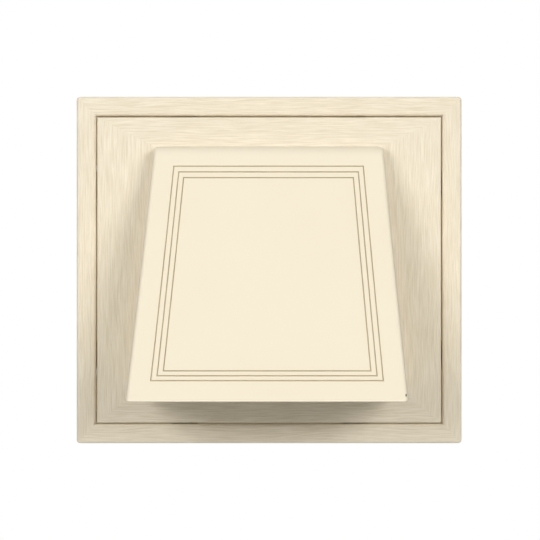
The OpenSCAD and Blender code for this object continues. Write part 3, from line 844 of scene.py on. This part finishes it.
def rod(name, r, reach, edge):
    """A round bar along the hinge's line, with its two ends broken by a small edge."""
    rings = []
    for x, radius in ((-reach, r - edge), (edge - reach, r), (reach - edge, r), (reach, r - edge)):
        rings.append([(x, out, z) for out, z in arc(HINGE_OUT, HINGE_Z, radius, 0, 352.5, 47)])
    return bridged(name, rings)


carved(
    flap, "UNION",
    leaf, ring_rib, *long_ribs,
    rod("barrel", BARREL_R, EAR_SPAN / 2 - EAR_GAP, 0.2),
    rod("pins", PIN_R, EAR_SPAN / 2 + EAR_T, 0.3),
)
shaded(flap)
flap.data.materials.append(plain_white)
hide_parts("damper_flap")
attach(flap, "flap")

# Collar screws
# Four pan-head self-tapping screws in zinc-plated steel, with a cross recess and a coarse rolled thread.
# They go in from the back through the collar plate, and cut their own thread in the base's bosses.

SCREW_R = 1.5
SCREW_L = 12.0
HEAD_R = 3.5
HEAD_H = 2.4
HEAD_EDGE_R = 1.2
THREAD_PITCH = 1.2
THREAD_RISE = 0.35
head_back = -HEAD_H
profile = [(0.15, SCREW_L), (SCREW_R / 2.5, SCREW_L - 0.3), (SCREW_R, SCREW_L - 3), (SCREW_R, 0.2)]
profile += [(SCREW_R + 0.2, 0), (HEAD_R - 0.15, 0)]
profile += arc(HEAD_R - HEAD_EDGE_R, head_back + HEAD_EDGE_R, HEAD_EDGE_R, 0, -90, 8)
profile += [(0.3, head_back - 0.02)]
screw = turned("pan_head_screw", profile, 48, closed=False)
for name, w, l in (("level_cut", 0.95, 3.8), ("upright_cut", 3.8, 0.95)):
    rings = []
    for out, share in ((head_back - CUT, 1.15), (head_back + 0.1, 1.0), (head_back + 1.3, 0.62)):
        x, z = w / 2 * share, l / 2 * share
        rings.append([(-x, out, -z), (x, out, -z), (x, out, z), (-x, out, z)])
    carved(screw, "DIFFERENCE", bridged(name, rings))

# The tree that winds a thread round a screw's shank
winding, given = new_tree("rolled_thread", radius=0.0015, rise=0.00035, pitch=0.0012, length=0.009)
turns = formula(winding, "DIVIDE", given["length"], given["pitch"])
helix = add_node(
    winding, "GeometryNodeCurveSpiral",
    {
        "Resolution": 24, "Rotations": turns, "Start Radius": given["radius"], "End Radius": given["radius"],
        "Height": given["length"],
    },
).outputs[0]
ridge = add_node(
    winding, "GeometryNodeCurvePrimitiveCircle", {"Resolution": 3, "Radius": given["rise"]}, mode="RADIUS"
).outputs[0]
wound = add_node(
    winding, "GeometryNodeCurveToMesh", {"Curve": helix, "Profile Curve": ridge, "Fill Caps": True}
).outputs[0]
laid = add_node(
    winding, "GeometryNodeTransform",
    {"Geometry": wound, "Translation": (0, -0.0008, 0), "Rotation": (math.pi / 2, 0, 0)},
).outputs[0]
finish_tree(winding, laid, given)
thread = bpy.data.objects.new("thread", bpy.data.meshes.new("thread"))
bpy.context.collection.objects.link(thread)
grown(thread, winding, radius=SCREW_R * MM, rise=THREAD_RISE * MM, pitch=THREAD_PITCH * MM, length=8.4 * MM)
outward(thread)
carved(screw, "UNION", thread)

# The tree that sets the screw at the plate's four corners
screw_set, given = new_tree("collar_corners", upper_x=0.072, lower_x=0.082, height=0.062, plate_out=0.008)
place = add_node(screw_set, "GeometryNodeInputIndex").outputs[0]
hand = formula(
    screw_set, "SUBTRACT",
    formula(screw_set, "MULTIPLY", formula(screw_set, "MODULO", place, 2.0), 2.0), 1.0,
)
lower = formula(screw_set, "FLOOR", formula(screw_set, "DIVIDE", place, 2.0))
aside = add_node(
    screw_set, "ShaderNodeMix", {"Factor": lower, "A": given["upper_x"], "B": given["lower_x"]}
).outputs[0]
high = formula(screw_set, "SUBTRACT", 1.0, formula(screw_set, "MULTIPLY", lower, 2.0))
spot = add_node(
    screw_set, "ShaderNodeCombineXYZ",
    {
        "X": formula(screw_set, "MULTIPLY", hand, aside),
        "Y": formula(screw_set, "MULTIPLY", given["plate_out"], -1.0),
        "Z": formula(screw_set, "MULTIPLY", high, given["height"]),
    },
).outputs[0]
twist = add_node(
    screw_set, "FunctionNodeRandomValue", {"Min": 0.0, "Max": 1.5, "ID": place, "Seed": 7}, data_type="FLOAT"
).outputs["Value"]
lean = add_node(screw_set, "ShaderNodeCombineXYZ", {"Y": twist}).outputs[0]
places = add_node(screw_set, "GeometryNodePoints", {"Count": 4, "Position": spot}).outputs[0]
copies = add_node(
    screw_set, "GeometryNodeInstanceOnPoints", {"Points": places, "Instance": given["Shape"], "Rotation": lean}
).outputs[0]
finish_tree(screw_set, copies, given)

# Zinc plate on steel: bright blue-grey, with soft cloudy stains and fine scratches from the tumbling barrel
zinc_plate, tree = new_material("zinc_plated_steel")
position = add_node(tree, "ShaderNodeTexCoord").outputs["Object"]
stain = add_node(tree, "ShaderNodeTexNoise", {"Vector": position, "Scale": 700, "Detail": 4}).outputs["Fac"]
colour = add_node(
    tree, "ShaderNodeMix", {"Factor": stain, 6: linear("#C9CCCE"), 7: linear("#B4B6B4")}, data_type="RGBA"
).outputs[2]
sheen = add_node(tree, "ShaderNodeMapRange", {"Value": stain, "To Min": 0.26, "To Max": 0.46}).outputs[0]
relief = add_node(tree, "ShaderNodeBump", {"Height": stain, "Strength": 0.15, "Distance": 0.00002}).outputs[0]
steel = add_node(
    tree, "ShaderNodeBsdfPrincipled",
    {"Base Color": colour, "Metallic": 1.0, "Roughness": sheen, "Normal": relief},
).outputs[0]
add_node(tree, "ShaderNodeOutputMaterial", {"Surface": steel})
screw.data.materials.clear()
grown(screw, screw_set, plate_out=PLATE_OUT * MM, Material=zinc_plate)
shaded(screw)
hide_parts("collar_screws")
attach(screw, "vent")

# Studio
# Soft lamps on each side a little above the vent, weaker ones in front, one overhead on the left, and one behind
# for its back, with a pale floor below the picture. The camera stands in front of the vent at its middle height.

LAMP_DISTANCE = 1.6


def lamp(name, azimuth, elevation, size, power):
    """A square soft lamp that faces the vent from a direction in degrees, where azimuth 0 is straight in front."""
    light = bpy.data.lights.new(name, "AREA")
    light.size = size
    light.energy = power
    a = math.radians(azimuth)
    e = math.radians(elevation)
    place = Vector((math.sin(a) * math.cos(e), -math.cos(a) * math.cos(e), math.sin(e))) * LAMP_DISTANCE
    holder = bpy.data.objects.new(name, light)
    holder.location = place
    holder.rotation_euler = (-place).to_track_quat("-Z", "Y").to_euler()
    bpy.context.collection.objects.link(holder)


lamp("right_lamp", 32, 18, 0.6, 11.2)
lamp("left_lamp", -32, 18, 0.6, 9.6)
lamp("low_right_lamp", 32, 5, 0.6, 2.6)
lamp("low_left_lamp", -32, 5, 0.6, 2.8)
lamp("front_lamp", 0, 9, 0.8, 1.2)
lamp("overhead_lamp", -45, 70, 0.6, 4.0)
lamp("back_lamp", 180, 12, 1.0, 14.0)

world = bpy.data.worlds.new("studio")
bpy.context.scene.world = world
world.use_nodes = True
world.node_tree.nodes.clear()
rays = add_node(world.node_tree, "ShaderNodeLightPath").outputs
reflected = formula(world.node_tree, "MULTIPLY", rays["Is Glossy Ray"], 0.3)
seen = formula(world.node_tree, "MAXIMUM", rays["Is Camera Ray"], reflected)
sky = add_node(world.node_tree, "ShaderNodeBackground", {"Color": (1, 1, 1, 1), "Strength": seen}).outputs[0]
add_node(world.node_tree, "ShaderNodeOutputWorld", {"Surface": sky})

floor_mesh = bpy.data.meshes.new("floor")
FLOOR_Z = -0.9
floor_corners = [(x, y, FLOOR_Z) for x, y in ((-1.5, -2.4), (1.5, -2.4), (1.5, 0.8), (-1.5, 0.8))]
floor_mesh.from_pydata(floor_corners, [], [(0, 1, 2, 3)])
floor = bpy.data.objects.new("floor", floor_mesh)
bpy.context.collection.objects.link(floor)
pale_floor, tree = new_material("painted_studio_floor")
spots = add_node(tree, "ShaderNodeTexNoise", {"Scale": 6, "Detail": 2}).outputs["Fac"]
paint = add_node(
    tree, "ShaderNodeMix", {"Factor": spots, 6: linear("#F0F0EE"), 7: linear("#F6F6F4")}, data_type="RGBA"
).outputs[2]
surface = add_node(tree, "ShaderNodeBsdfPrincipled", {"Base Color": paint, "Roughness": 0.7}).outputs[0]
add_node(tree, "ShaderNodeOutputMaterial", {"Surface": surface})
floor.data.materials.append(pale_floor)

camera_data = bpy.data.cameras.new("camera")
camera_data.lens = 107.0
camera_data.sensor_width = 36
camera_data.shift_x = -0.0446
camera = bpy.data.objects.new("camera", camera_data)
camera.location = (0.014, -0.9265, 0)
camera.rotation_euler = (math.pi / 2, 0, 0)
bpy.context.collection.objects.link(camera)
bpy.context.scene.camera = camera

bpy.context.scene.view_settings.view_transform = "Standard"
